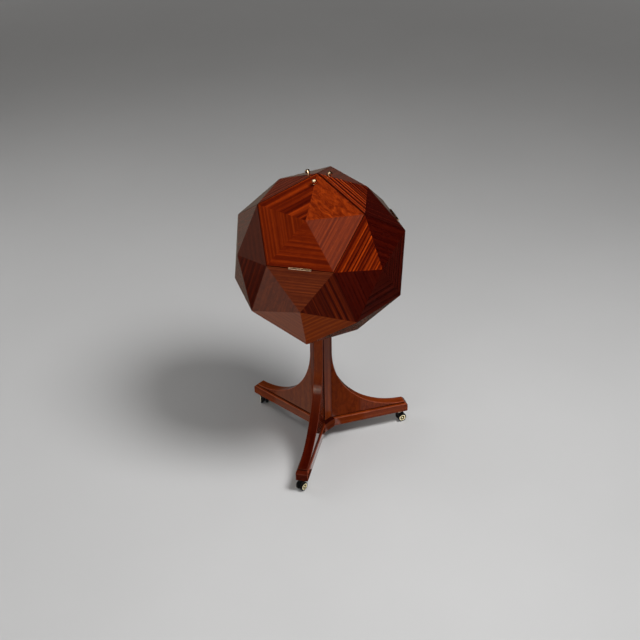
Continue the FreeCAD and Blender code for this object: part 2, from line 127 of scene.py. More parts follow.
# How bold its stripes are
STRIPES = {
    "flap_front": (1.6, 0.55, 0.6, 0.5, 0.2),
    "flap_right": (2.6, 0.5, 0.6, 0.6, 0.6),
    "flap_left": (0.6, 0.5, 0.5, 0.5, 0.5),
    "lower_panel_front": (0.7, 0.35, 0.4, 0.5, 1.5),
    "upper_panel_right": (0.75, 0.6, 2.1, 0.65, 0.5),
    "upper_panel_left": (0.4, 0.4, 0.4, 0.3, 0.8),
}
# How closely the stripes lie
PITCH = {
    "flap_front": (0.64, 1.8, 1.2, 1.75, 1.0),
    "flap_right": (1.5, 1.0, 1.0, 1.0, 1.0),
    "lower_panel_front": (2.0, 1.0, 1.4, 1.28, 1.25),
    "upper_panel_right": (0.96, 1.75, 1.8, 1.2, 1.2),
}
# Which cut of the flitch it comes from, and how far across the flitch one cut lies from the next
CUTS = {
    "flap_front": (15, 3, 13, 19, 0),
    "flap_right": (10, 0, 0, 0, 0),
    "lower_panel_front": (20, 0, 0, 14, 2),
    "upper_panel_right": (15, 19, 5, 10, 0),
    "upper_panel_left": (0, 0, 0, 0, 5),
}
CUT_STEP = 0.61
# How cloudy its figure is
FIGURE = {
    "flap_front": (0.25, 0.3, 0.4, 0.4, 1.4),
    "lower_panel_front": (0.4, 0.7, 0.3, 0.3, 0.3),
}
# How far its red turns to brown
BROWNNESS = {
    "lower_panel_front": (0.9, 0.8, 0.9, 0.9, 0.3),
    "upper_panel_left": (0.6, 0.6, 0.6, 0.6, 0.1),
    "flap_front": (0.0, 0.1, 0.0, 0.3, 0.2),
    "flap_right": (0.1, 0.0, 0.3, 0.5, 0.5),
    "upper_panel_right": (0.0, 0.0, 0.0, 0.0, 0.0),
}
CHOSEN = {
    "tone": TONE_WITH_PAINTED_LIGHT,
    "stripes": STRIPES,
    "pitch": PITCH,
    "start": {node: [CUT_STEP * cut for cut in cuts] for node, cuts in CUTS.items()},
    "figure": FIGURE,
    "brown": BROWNNESS,
}
# The least and the most that leaves of other panels get by chance
BY_CHANCE = {
    "tone": (0.7, 1.15),
    "stripes": (0.35, 0.95),
    "pitch": (0.8, 1.4),
    "start": (0.0, 9.0),
    "figure": (0.2, 0.6),
    "brown": (0.0, 0.6),
}


def chance(*words):
    """A number from 0 to 1 that depends only on the words."""
    total = 7
    for letter in "".join(str(w) for w in words):
        total = (total * 131 + ord(letter)) % 100003
    return total / 100003


def leaf_value(word, node, index):
    if node in CHOSEN[word]:
        return CHOSEN[word][node][index]
    low, high = BY_CHANCE[word]
    return low + (high - low) * chance(node, index, word)


# Node helpers


class Graph:
    def __init__(self, tree):
        self.tree = tree
        tree.nodes.clear()

    def add(self, kind, inputs=None, **settings):
        node = self.tree.nodes.new(kind)
        for key, value in settings.items():
            setattr(node, key, value)
        for key, value in (inputs or {}).items():
            self.put(node, key, value)
        return node

    def put(self, node, key, value):
        if isinstance(value, bpy.types.NodeSocket):
            self.tree.links.new(value, node.inputs[key])
        else:
            node.inputs[key].default_value = value

    def math(self, operation, a, b=None):
        node = self.add("ShaderNodeMath", operation=operation)
        self.put(node, 0, a)
        if b is not None:
            self.put(node, 1, b)
        return node.outputs[0]

    def total(self, *values):
        result = values[0]
        for value in values[1:]:
            result = self.math("ADD", result, value)
        return result

    def times(self, a, b):
        return self.math("MULTIPLY", a, b)

    def noise(self, vector, scale, detail=2.0, rough=0.5, distortion=0.0):
        node = self.add(
            "ShaderNodeTexNoise",
            {
                "Vector": vector,
                "Scale": scale,
                "Detail": detail,
                "Roughness": rough,
                "Distortion": distortion,
            },
        )
        return node.outputs["Fac"]

    def grain_noise(self, vector, along, across, detail=2.0, rough=0.5, distortion=0.0):
        """Noise about zero, stretched along the grain; the scales are in cycles to the metre."""
        field = self.noise(self.stretched(vector, (along, across, 1.0)), 1.0, detail, rough, distortion)
        return self.math("SUBTRACT", field, 0.5)

    def stretched(self, vector, scale):
        node = self.add("ShaderNodeMapping", {"Vector": vector, "Scale": scale})
        return node.outputs[0]

    def attribute(self, name):
        return self.add("ShaderNodeAttribute", attribute_name=name).outputs["Fac"]

    def ramp(self, fac, stops):
        node = self.add("ShaderNodeValToRGB", {"Fac": fac})
        ramp = node.color_ramp
        while len(ramp.elements) < len(stops):
            ramp.elements.new(1.0)
        for element, (place, colour) in zip(ramp.elements, stops):
            element.position = place
            element.color = (*colour, 1.0)
        return node.outputs[0]

    def mix(self, fac, a, b):
        node = self.add("ShaderNodeMix", data_type="RGBA")
        self.put(node, 0, fac)
        self.put(node, 6, a)
        self.put(node, 7, b)
        return node.outputs[2]

    def spread(self, value, low, high, to_low, to_high):
        node = self.add(
            "ShaderNodeMapRange",
            {0: value, 1: low, 2: high, 3: to_low, 4: to_high},
            interpolation_type="SMOOTHSTEP",
        )
        return node.outputs[0]

    def bump(self, height, strength, distance):
        node = self.add("ShaderNodeBump", {"Strength": strength, "Distance": distance, "Height": height})
        return node.outputs[0]

    def surface(self, shader):
        out = self.add("ShaderNodeOutputMaterial")
        self.tree.links.new(shader.outputs[0], out.inputs[0])


def new_material(name):
    material = bpy.data.materials.new(name)
    material.use_nodes = True
    return material, Graph(material.node_tree)


# Wood

# Each step of a ramp doubles the wood's lightness over this much of the grain's value
OCTAVE = 0.2
# Stripes to the metre of plain veneer, and how far noise moves them, in radians
RIBBONS = 45.0
RIBBON_SHIFT = 9.0
# How far slow waves bend the stripes, in metres
SWAY = 0.010
# How much each layer counts in the grain's value, and the pores in its colour
RIBBON_SHARE = 0.13
BROAD_SHARE = 0.14
NARROW_SHARE = 0.50
FINE_SHARE = 0.16
CLOUD_SHARE = 0.65
PORE_SHARE = 0.35


def wood_stops(middle, dark_green, light_green, blue):
    """Colours from a quarter to four times the middle red, yellower as they get lighter."""
    stops = []
    for step in range(-2, 3):
        red = middle * 2 ** step
        share = (step + 2) / 4
        green = red * (dark_green + (light_green - dark_green) * share)
        stops.append((0.5 + step * OCTAVE, (red, green, red * blue * (1 + share))))
    return stops


def wood_material(name, stops, coat, rough, bump, browner=None, polish=0.05):
    """Ribbon-striped wood. The uv map is in metres: u along the grain, v across it."""
    material, g = new_material(name)
    uv = g.add("ShaderNodeUVMap", uv_map="grain").outputs[0]
    sway = g.times(g.grain_noise(uv, 3.0, 6.0), SWAY)
    shift = g.add("ShaderNodeCombineXYZ", {"Y": sway}).outputs[0]
    along = g.add("ShaderNodeVectorMath", {0: uv, 1: shift}, operation="ADD").outputs[0]
    across = g.add("ShaderNodeSeparateXYZ", {0: along}).outputs["Y"]
    drift = g.times(g.grain_noise(along, 0.7, 18.0), RIBBON_SHIFT)
    phase = g.total(g.times(across, 2 * math.pi * RIBBONS), drift)
    swell = g.spread(g.grain_noise(along, 2.0, 16.0), -0.12, 0.12, 0.3, 1.0)
    ribbon = g.times(g.math("SINE", phase), swell)
    broad = g.spread(g.grain_noise(along, 0.8, 62.0, 1.0), -0.11, 0.11, -0.5, 0.5)
    narrow = g.grain_noise(along, 1.8, 230.0, 2.0, 0.6)
    fine = g.grain_noise(along, 14.0, 1400.0, 2.0, 0.6)
    cloud = g.grain_noise(uv, 30.0, 70.0, 5.0, 0.62, 1.2)
    layers = g.total(
        g.times(ribbon, RIBBON_SHARE),
        g.times(broad, BROAD_SHARE),
        g.times(narrow, NARROW_SHARE),
    )
    bands = g.times(layers, g.attribute("stripes"))
    clouds = g.times(cloud, g.attribute("figure"))
    grain = g.total(
        bands,
        g.times(fine, FINE_SHARE),
        g.times(clouds, CLOUD_SHARE),
        g.attribute("shade"),
        0.5,
    )
    colour = g.ramp(grain, stops)
    if browner:
        colour = g.mix(g.attribute("brown"), colour, g.ramp(grain, browner))
    # short dark pores along the grain
    pores = g.spread(g.grain_noise(along, 90.0, 2600.0, 1.0), 0.16, 0.24, 0.0, 1.0)
    darkest = stops[0][1]
    colour = g.mix(g.times(pores, PORE_SHARE), colour, (*(0.6 * c for c in darkest), 1.0))
    roughness = g.math("SUBTRACT", rough, g.times(bands, 0.15))
    relief = g.math("SUBTRACT", fine, g.times(pores, 0.8))
    shader = g.add(
        "ShaderNodeBsdfPrincipled",
        {
            "Base Color": colour,
            "Roughness": roughness,
            "Normal": g.bump(relief, bump, 0.0002),
            "Coat Normal": g.bump(g.grain_noise(uv, 22.0, 26.0), 0.5, 0.0002),
        },
    )
    shader.inputs["Specular IOR Level"].default_value = 0.06
    shader.inputs["Coat Weight"].default_value = coat
    shader.inputs["Coat Roughness"].default_value = polish
    g.surface(shader)
    return material


RED = wood_stops(middle=0.106, dark_green=0.030, light_green=0.130, blue=0.004)
BROWN = wood_stops(middle=0.106, dark_green=0.070, light_green=0.180, blue=0.008)
PLAIN = wood_stops(middle=0.170, dark_green=0.220, light_green=0.400, blue=0.090)
PAINTED_SHADE_STOPS = wood_stops(middle=0.022, dark_green=0.05, light_green=0.14, blue=0.01)
PALE = wood_stops(middle=0.180, dark_green=0.12, light_green=0.28, blue=0.060)
veneer = wood_material("striped_veneer", RED, coat=1.0, rough=0.38, bump=0.10, browner=BROWN)
pedestal_wood = wood_material(
    "pedestal_mahogany", RED, coat=1.0, rough=0.38, bump=0.12, browner=BROWN, polish=0.09
)
# Dark edge wood for eased seams, flap gaps, the joints between fins and rails and the filler strips' edges:
# painted shade for the shadow in those gaps and grooves
shade_edge_wood = wood_material("painted_shade_edge", PAINTED_SHADE_STOPS, coat=0.3, rough=0.5, bump=0.20)
# Pale edge wood for eased corners: partly wear and partly painted highlight along the edges
wear_and_highlight_edge = wood_material("wear_and_highlight_edge", PALE, coat=0.6, rough=0.36, bump=0.20, polish=0.2)
inner_wood = wood_material("inner_wood", PLAIN, coat=0.25, rough=0.45, bump=0.25)

# Metal, rubber and plastic


def metal_material(name, light, dark, rough, wear, patchy=(0.45, 0.75)):
    """Polished metal with tarnish in soft patches and fine scratches."""
    material, g = new_material(name)
    place = g.add("ShaderNodeTexCoord").outputs["Object"]
    patches = g.noise(place, 160.0, 4.0, 0.6)
    scratches = g.noise(g.stretched(place, (2600.0, 300.0, 2600.0)), 1.0, 2.0)
    tarnish = g.spread(patches, *patchy, 0.0, wear)
    colour = g.mix(tarnish, (*light, 1.0), (*dark, 1.0))
    roughness = g.total(g.times(scratches, 0.10), g.times(tarnish, 0.25), rough)
    shader = g.add(
        "ShaderNodeBsdfPrincipled",
        {"Base Color": colour, "Roughness": roughness, "Normal": g.bump(scratches, 0.06, 0.0001)},
    )
    shader.inputs["Metallic"].default_value = 1.0
    g.surface(shader)
    return material


brass = metal_material("polished_brass", (0.96, 0.77, 0.55), (0.46, 0.31, 0.15), rough=0.12, wear=0.5)
hinge_brass = metal_material(
    "tarnished_brass", (0.96, 0.63, 0.42), (0.28, 0.17, 0.07), rough=0.20, wear=0.9, patchy=(0.48, 0.64)
)
castor_brass = metal_material("castor_brass", (1.0, 0.88, 0.55), (0.52, 0.38, 0.15), rough=0.14, wear=0.4)
# Near-black brass for the caps' dishes: painted shade for their recess
dish_shade_brass = metal_material("dish_shade_brass", (0.035, 0.024, 0.009), (0.015, 0.010, 0.004), rough=0.36, wear=0.5)
steel = metal_material("plain_steel", (0.55, 0.55, 0.56), (0.26, 0.24, 0.23), rough=0.28, wear=0.6)


def black_material(name, base, scuffed, rough):
    """Hard black rubber or plastic with scuffs and fine dust."""
    material, g = new_material(name)
    place = g.add("ShaderNodeTexCoord").outputs["Object"]
    dust = g.noise(place, 420.0, 3.0, 0.6)
    scuffs = g.noise(place, 90.0, 3.0, 0.55)
    colour = g.mix(g.spread(scuffs, 0.5, 0.75, 0.0, 0.5), (*base, 1.0), (*scuffed, 1.0))
    shader = g.add(
        "ShaderNodeBsdfPrincipled",
        {
            "Base Color": colour,
            "Roughness": g.total(g.times(dust, 0.25), rough),
            "Normal": g.bump(dust, 0.10, 0.0002),
        },
    )
    g.surface(shader)
    return material


black_wheel = black_material("black_wheel", (0.010, 0.010, 0.011), (0.040, 0.038, 0.036), rough=0.18)
black_body = black_material("black_castor_body", (0.012, 0.012, 0.012), (0.030, 0.030, 0.030), rough=0.22)

# Wooden pieces, made from the CAD forms and given grain

# Points this close are one point, faces this close to one plane are one face, and a triangle whose
# cross product is smaller than this has no area
WELD = 2e-6
FLAT_DEGREES = 0.3
NO_AREA = 1e-14


def triangles_of(node):
    """The node's triangles as corner lists with their normals."""
    mesh = nodes[node].data
    mesh.calc_loop_triangles()
    found = []
    for tri in mesh.loop_triangles:
        corners = [mesh.vertices[i].co.copy() for i in tri.vertices]
        normal = (corners[1] - corners[0]).cross(corners[2] - corners[0])
        if normal.length > NO_AREA:
            found.append((corners, normal.normalized()))
    return found


def welded(triangles):
    """One closed form with whole faces, from loose triangles."""
    form = bmesh.new()
    for corners, _ in triangles:
        form.faces.new([form.verts.new(c) for c in corners])
    bmesh.ops.remove_doubles(form, verts=form.verts, dist=WELD)
    flat = math.radians(FLAT_DEGREES)
    bmesh.ops.dissolve_limit(form, angle_limit=flat, verts=form.verts, edges=form.edges)
    form.normal_update()
    return form


class Look:
    """How one face of a piece is finished; flat gives the grain's (u, v) at a point."""

    def __init__(self, slot, flat, tone, stripes, figure, brown=0.0):
        self.slot = slot
        self.flat = flat
        shade = OCTAVE * math.log2(tone)
        self.values = {"shade": shade, "stripes": stripes, "figure": figure, "brown": brown}


class Piece:
    """Collects welded forms into one mesh with grain coordinates and finish."""

    def __init__(self, name, materials):
        self.name = name
        self.materials = materials
        self.points = []
        self.faces = []
        self.uvs = []
        self.looks = []
        self.eased = {}

    def take(self, form, look_of, easing):
        start = len(self.points)
        form.verts.index_update()
        self.points += [v.co.copy() for v in form.verts]
        for face in form.faces:
            look = look_of(face)
            self.faces.append([start + v.index for v in face.verts])
            self.uvs += [look.flat(v.co) for v in face.verts]
            self.looks.append(look)
        for edge in form.edges:
            kind = easing(edge)
            if kind:
                self.eased[tuple(sorted(start + v.index for v in edge.verts))] = kind
        form.free()

    def build(self, bevels, smooth=False):
        """The finished object; bevels gives each kind of eased edge a width and a material slot."""
        mesh = bpy.data.meshes.new(self.name)
        mesh.from_pydata(self.points, [], self.faces)
        layer = mesh.uv_layers.new(name="grain")
        for loop, uv in zip(layer.data, self.uvs):
            loop.uv = uv
        for name in ("shade", "stripes", "figure", "brown"):
            attribute = mesh.attributes.new(name, "FLOAT", "FACE")
            for item, look in zip(attribute.data, self.looks):
                item.value = look.values[name]
        for polygon, look in zip(mesh.polygons, self.looks):
            polygon.material_index = look.slot
            polygon.use_smooth = smooth
        for material in self.materials:
            mesh.materials.append(material)
        for kind in bevels:
            weights = mesh.attributes.new(kind + "_weight", "FLOAT", "EDGE")
            for edge, weight in zip(mesh.edges, weights.data):
                weight.value = float(self.eased.get(tuple(sorted(edge.vertices))) == kind)
        if smooth:
            sharpen(mesh, degrees=20)
        piece = linked(self.name, mesh)
        for kind, (width, slot) in bevels.items():
            rounding = piece.modifiers.new(kind + "_edges", "BEVEL")
            rounding.width = width
            rounding.segments = 2
            rounding.limit_method = "WEIGHT"
            rounding.edge_weight = kind + "_weight"
            rounding.use_clamp_overlap = False
            rounding.material = slot
        return piece


def linked(name, data):
    made = bpy.data.objects.new(name, data)
    bpy.context.scene.collection.objects.link(made)
    return made


def sharpen(mesh, degrees):
    """Sharp edges where faces meet at more than an angle, smooth elsewhere."""
    form = bmesh.new()
    form.from_mesh(mesh)
    for edge in form.edges:
        edge.smooth = len(edge.link_faces) == 2 and edge.calc_face_angle() < math.radians(degrees)
    form.to_mesh(mesh)
    form.free()


# Pieces that some lights are meant for
all_pieces = bpy.data.collections.new("all_pieces")
brass_pieces = bpy.data.collections.new("brass_pieces")
front_fin = bpy.data.collections.new("front_fin")


def place_piece(piece, body, slot, *replaced):
    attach(piece, body)
    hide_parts(*replaced)
    all_pieces.objects.link(piece)
    if "leg_fin_front" in replaced:
        front_fin.objects.link(piece)


# Panels of five veneered boards

# How far inside a face its board is looked for
INSIDE_BY = 1e-4
# How near the outer face and the plane through an outer edge a face or edge counts as there
NEAR_FACE = 2e-4
NEAR_EDGE = 1.6e-3
FLAT_ON = 0.999
# Which edges of each kind of panel lie along a flap
FLAP_EDGES = {"flap": (0, 1, 2, 3, 4), "upper_panel": (2, 3), "lower_panel": (0,), "bottom_panel": ()}
# The material slots of a panel, and how wide its edges are eased; the eased seams and flap gaps take the
# dark edge wood, painted shade in the gaps
OUTSIDE, INSIDE, MITRE, CREVICE = range(4)
PANEL_MATERIALS = [veneer, inner_wood, pedestal_wood, shade_edge_wood]
PANEL_BEVELS = {"seam": (0.0004, CREVICE), "gap": (0.0008, CREVICE)}


def facet_wedges(corners, apex):
    """For each of the five boards, the planes through the centre that bound it."""
    wedges = []
    for first, second in zip(corners, corners[1:] + corners[:1]):
        middle = (first + second + apex) / 3
        planes = []
        for a, b in ((first, second), (second, apex), (apex, first)):
            side = a.cross(b).normalized()
            planes.append(side if side.dot(middle) > 0 else -side)
        wedges.append(planes)
    return wedges


def board_triangles(node, wedges):
    """The node's triangles, sorted by board."""
    boards = [[] for _ in wedges]
    for triangle, normal in triangles_of(node):
        inside = sum(triangle, Vector()) / 3 - normal * INSIDE_BY - CENTRE
        depth = [min(plane.dot(inside) for plane in planes) for planes in wedges]
        boards[depth.index(max(depth))].append((triangle, normal))
    return boards


class Leaf:
    """One triangular board of a panel, with veneer outside and plain wood inside.

    Its luck moves it by some metres along and across the pattern.
    """

    def __init__(self, node, index, first, second, apex):
        self.first = first
        self.along = (second - first).normalized()
        outward = self.along.cross(apex - first).normalized()
        self.outward = outward if outward.dot(first) > 0 else -outward
        across = self.along.cross(self.outward).normalized()
        self.across = across if across.dot(apex - first) > 0 else -across
        self.level = self.outward.dot(first)
        self.rim = self.along.cross(first.normalized()).normalized()
        self.luck = chance(node, index)
        self.meets_flap = index in FLAP_EDGES[node.rsplit("_", 1)[0]]
        self.pitch = leaf_value("pitch", node, index)
        self.start = leaf_value("start", node, index)
        finish = {word: leaf_value(word, node, index) for word in ("tone", "stripes", "figure", "brown")}
        self.outside = Look(OUTSIDE, self.face_grain, **finish)
        self.inside = Look(INSIDE, self.face_grain, tone=1.0, stripes=0.5, figure=0.3)
        self.mitre = Look(MITRE, self.mitre_grain, tone=0.8, stripes=0.4, figure=0.2)

    def face_grain(self, point):
        out = point - CENTRE - self.first
        u = out.dot(self.along) + 9.0 * self.luck
        v = (out.dot(self.across) + 3.7 * self.luck + self.start) * self.pitch
        return u, v

    def mitre_grain(self, point):
        out = point - CENTRE - self.first
        return out.dot(self.along) + 5.0 * self.luck, out.dot(self.outward) + 2.1 * self.luck

    def look_of(self, face):
        facing = face.normal.dot(self.outward)
        height = self.outward.dot(face.calc_center_median() - CENTRE)
        if facing > FLAT_ON and height > self.level - NEAR_FACE:
            return self.outside
        if facing < -FLAT_ON:
            return self.inside
        return self.mitre

    def easing(self, edge):
        middle = (edge.verts[0].co + edge.verts[1].co) / 2 - CENTRE
        if abs(self.rim.dot(middle)) > NEAR_EDGE or self.outward.dot(middle) < self.level - NEAR_FACE:
            return None
        return "gap" if self.meets_flap else "seam"


def panel_piece(node, corners, body):
    apex = apex_of(corners)
    boards = board_triangles(node, facet_wedges(corners, apex))
    piece = Piece("veneered_" + node, PANEL_MATERIALS)
    for index, triangles in enumerate(boards):
        leaf = Leaf(node, index, corners[index], corners[(index + 1) % len(corners)], apex)
        piece.take(welded(triangles), leaf.look_of, leaf.easing)
    place_piece(piece.build(PANEL_BEVELS), body, "veneered_board", node)


for place, azimuth in PLACES.items():
    panel_piece("flap_" + place, flap_corners(azimuth, 1), place + "_flap")
    panel_piece("lower_panel_" + place, side_corners(azimuth, 1), "cabinet")
for place, azimuth in BETWEEN.items():
    panel_piece("upper_panel_" + place, side_corners(azimuth, -1), "cabinet")
    panel_piece("bottom_panel_" + place, flap_corners(azimuth, -1), "cabinet")

# Legs and plain wooden pieces

# How light each leg's wood looks at the top of its fin, at the fin's foot, on its rail's sides and on the
# rail's ends and top, and how brown it is. The lightness is partly the wood's own and partly painted light
# and shade: the front leg's foot and rail top are darkened as painted shade under the body, and the fins
# lighten or darken along the sweep with how the light falls.
FIN_TONE_WITH_PAINTED_LIGHT = {"front": 1.5, "right": 1.1, "left": 1.3}
FOOT_TONE_WITH_PAINTED_LIGHT = {"front": 0.40, "right": 1.5, "left": 1.9}
RAIL_TONE = {"front": 1.3, "right": 1.6, "left": 1.7}
END_TONE_WITH_PAINTED_SHADE = {"front": 0.55, "right": 1.45, "left": 1.5}
LEG_BROWN = {"front": 0.3, "right": 0.9, "left": 1.0}
# The material slots of a leg, and how wide its edges are eased; the joint between fin and rail takes the
# dark edge wood, painted shade in the groove, and the corners take the pale edge wood, partly wear and
# partly painted highlight
PLAIN_WOOD, WEAR_AND_HIGHLIGHT, GROOVE = range(3)
LEG_MATERIALS = [pedestal_wood, wear_and_highlight_edge, shade_edge_wood]
FIN_BEVELS = {"worn": (0.0020, WEAR_AND_HIGHLIGHT)}
RAIL_BEVELS = {"seam": (0.0032, GROOVE), "worn": (0.0018, WEAR_AND_HIGHLIGHT)}
FILLER_BEVEL = 0.0052
CORNER_BLOCK_BEVEL = 0.0012
INNER_BEVEL = 0.0006
# Flatter edges belong to curved faces, and shorter ones to screw holes
CORNER_DEGREES = 25
SHORTEST_EDGE = 0.003
ON_JOINT = 1e-4


def corner_easing(edge):
    """Corners take the pale edge, partly wear and partly painted highlight; the joint between fins and rails
    takes the dark edge, painted shade.
    """
    if len(edge.link_faces) != 2 or edge.calc_face_angle() < math.radians(CORNER_DEGREES):
        return None
    if edge.calc_length() < SHORTEST_EDGE:
        return None
    on_joint = all(abs(v.co.z - RAIL_TOP) < ON_JOINT for v in edge.verts)
    return "seam" if on_joint else "worn"


def worn_easing(edge):
    return corner_easing(edge) and "worn"


def fin_piece(place, azimuth):
    """The fin of one leg, with the grain upright on its sides and along the sweep on its edge."""
    node = "leg_fin_" + place
    top_tone_with_painted_light = FIN_TONE_WITH_PAINTED_LIGHT[place]
    foot_tone_with_painted_light = FOOT_TONE_WITH_PAINTED_LIGHT[place]
    brown = LEG_BROWN[place]
    out = towards(azimuth, 0)
    side = towards(azimuth + 90, 0)
    luck = chance(node)

    def side_grain(point):
        return point.z + 4.0 * luck, point.dot(out) + luck

    def edge_grain(point):
        inward = FIN_REACH + SWEEP - point.dot(out)
        below = FIN_FOOT + SWEEP - point.z
        along = -below if below < 0 else -SWEEP * math.atan2(below, max(inward, 1e-6))
        return along + 3.0 * luck, point.dot(side) + 2.0 * luck

    def look_of(face):
        if abs(face.normal.dot(side)) > 0.9:
            side_tone = math.sqrt(top_tone_with_painted_light * foot_tone_with_painted_light)
            return Look(PLAIN_WOOD, side_grain, side_tone, stripes=0.2, figure=0.7, brown=brown)
        # The edge's tone runs from the foot's to the top's along the sweep: partly painted light and shade
        rise = (face.calc_center_median().z - FIN_FOOT) / SWEEP
        share = min(1.0, max(0.0, 1.6 * rise - 0.2))
        tone = foot_tone_with_painted_light * (top_tone_with_painted_light / foot_tone_with_painted_light) ** share
        edge_brown = brown + (1 - brown) * share
        return Look(PLAIN_WOOD, edge_grain, tone, stripes=0.4, figure=0.6, brown=edge_brown)

    piece = Piece("solid_" + node, LEG_MATERIALS)
    piece.take(welded(triangles_of(node)), look_of, corner_easing)
    place_piece(piece.build(FIN_BEVELS, smooth=True), "cabinet", "pedestal_wood", node)


def rail_piece(place, azimuth):
    """The foot rail of one leg, with the grain along it."""
    node = "foot_rail_" + place
    out = towards(azimuth, 0)
    side = towards(azimuth + 90, 0)
    luck = chance(node)

    def rail_grain(point):
        return point.dot(out) + 4.0 * luck, point.dot(side) - point.z + luck

    def look_of(face):
        faces_sideways = abs(face.normal.dot(side)) >= 0.3
        # The rail's ends and top take the end tone, darkened on the front rail as painted shade
        tone = RAIL_TONE[place] if faces_sideways else END_TONE_WITH_PAINTED_SHADE[place]
        return Look(PLAIN_WOOD, rail_grain, tone, stripes=0.4, figure=0.5, brown=LEG_BROWN[place])

    piece = Piece("solid_" + node, LEG_MATERIALS)
    piece.take(welded(triangles_of(node)), look_of, corner_easing)
    place_piece(piece.build(RAIL_BEVELS, smooth=True), "cabinet", "pedestal_wood", node)


def block_piece(node, materials, slot, grain_axis, bevel, tone=1.0, top_tone_with_painted_light=1.0):
    """A plain piece with the grain along one axis or, with none, along each face's level direction.

    Its eased edges take the last of the materials.
    """
    luck = chance(node)

    def axis_or(axis, other):
        return axis.normalized() if axis.length > 0.1 else other

    def look_of(face):
        normal = face.normal
        u_axis = axis_or(grain_axis or Vector((-normal.y, normal.x, 0)), Vector((1, 0, 0)))
        v_axis = axis_or(normal.cross(u_axis), Vector((0, 1, 0)))

        def flat(point):
            return point.dot(u_axis) + 3.0 * luck, point.dot(v_axis) + 2.0 * luck

        # Faces turned upwards take the top tone; on the corner blocks it darkens their tops as painted shade
        face_tone = top_tone_with_painted_light if normal.z > 0.3 else tone
        return Look(PLAIN_WOOD, flat, face_tone, stripes=0.4, figure=0.3, brown=1.0)

    piece = Piece("solid_" + node, materials)
    piece.take(welded(triangles_of(node)), look_of, worn_easing)
    place_piece(piece.build({"worn": (bevel, len(materials) - 1)}), "cabinet", slot, node)


for place, azimuth in PLACES.items():
    fin_piece(place, azimuth)
    rail_piece(place, azimuth)
UPRIGHT = Vector((0, 0, 1))
SIDEWAYS = Vector((1, 0, 0))
# The filler strips' eased edges take the dark edge wood: a painted shadow line along their joints with the
# fins
FILLER_WOODS = [pedestal_wood, shade_edge_wood]
CORNER_WOODS = [pedestal_wood, wear_and_highlight_edge]
block_piece("post_filler_strips", FILLER_WOODS, "pedestal_wood", UPRIGHT, FILLER_BEVEL, tone=1.7)
# The corner blocks' tops are darkened: painted shade
block_piece("foot_corner_blocks", CORNER_WOODS, "pedestal_wood", None, CORNER_BLOCK_BEVEL, top_tone_with_painted_light=0.25)
INNER_GRAIN = {
    "bottle_shelf": SIDEWAYS,
    "shelf_battens": None,
    "flap_stop_strips": None,
    "mounting_block": SIDEWAYS,
}
for name, grain_axis in INNER_GRAIN.items():
    block_piece(name, [inner_wood], "inner_wood", grain_axis, INNER_BEVEL)

# Turned pieces: knobs, castor wheels and their caps

# Outlines as radius and height along the axis, in millimetres
MM = 0.001
KNOB_FOOT = 5.5
KNOB_OUTLINE = [(0, -9), (2.5, -9), (2.5, 0), (KNOB_FOOT, 0), (KNOB_FOOT, 2), (3.6, 2), (3.6, 5.5)]
KNOB_OUTLINE += [(6.0, 5.5), (7.5, 7), (7.5, 16.6), (5.0, 17.1), (2.5, 17.4), (0, 17.5)]
WHEEL_OUTLINE = [(13.02, 11), (3.05, 11), (3.05, 4), (14, 4), (16, 6), (16, 12), (14, 14), (13.02, 14)]
CAP_OUTLINE = [(0, 11), (13, 11), (13, 13.4), (11.6, 13.2), (11.3, 13.6), (10.6, 13.9), (9.0, 13.9)]
CAP_OUTLINE += [(8.2, 13.5), (7.8, 12), (3.6, 12), (3.3, 13.2), (2.2, 13.8), (0, 13.9)]
KNOB_ROUNDING = 0.7
WHEEL_ROUNDING = 1.2
CAP_ROUNDING = 0.5
# A cap's black rim is outside one radius, and its dish, darkened as painted shade for its recess, lies
# between two others
CAP_RIM = 11.4
CAP_DISH = (3.4, 8.0)
BRIGHT, DISH_SHADE, BLACK = range(3)
CAP_MATERIALS = [castor_brass, dish_shade_brass, black_wheel]
TURNED_SIDES = 56
ON_AXIS = 1e-7


def rounded(outline, rounding, steps=4):
    """An outline in metres from one in millimetres, with all corners but its ends rounded off."""
    points = [Vector((radius * MM, height * MM)) for radius, height in outline]
    result = [points[0]]
    for before, corner, after in zip(points, points[1:], points[2:]):
        reach = min(rounding * MM, 0.45 * (before - corner).length, 0.45 * (after - corner).length)
        start = corner + (before - corner).normalized() * reach
        end = corner + (after - corner).normalized() * reach
        for step in range(steps + 1):
            t = step / steps
            result.append(start * (1 - t) ** 2 + corner * (2 * t * (1 - t)) + end * t ** 2)
    return result + [points[-1]]


def turned_piece(name, outline, foot, axis, materials, finish=None):
    """A closed solid turned about an axis; an outline off the axis closes on itself.

    The finish gives each part of the outline its material by its radius.
    """
    form = bmesh.new()
    spin = UPRIGHT.rotation_difference(axis)
    rings = []
    for radius, height in outline:
        if radius < ON_AXIS:
            rings.append([form.verts.new(foot + axis * height)])
            continue
        turns = [360 * i / TURNED_SIDES for i in range(TURNED_SIDES)]
        rings.append([form.verts.new(foot + spin @ polar(radius, turn, height)) for turn in turns])
    pairs = list(zip(rings, rings[1:]))
    if len(rings[0]) > 1:
        pairs.append((rings[-1], rings[0]))
    for index, (low, high) in enumerate(pairs):
        middle = (outline[index] + outline[(index + 1) % len(outline)]) / 2
        for i in range(TURNED_SIDES):
            j = (i + 1) % TURNED_SIDES
            corners = [low[i % len(low)], low[j % len(low)], high[j % len(high)], high[i % len(high)]]
            face = form.faces.new(list(dict.fromkeys(corners)))
            face.material_index = finish(middle.x) if finish else 0
    bmesh.ops.recalc_face_normals(form, faces=form.faces)
    for face in form.faces:
        face.smooth = True
    mesh = bpy.data.meshes.new(name)
    form.to_mesh(mesh)
    form.free()
    sharpen(mesh, degrees=40)
    for material in materials:
        mesh.materials.append(material)
    return linked(name, mesh)


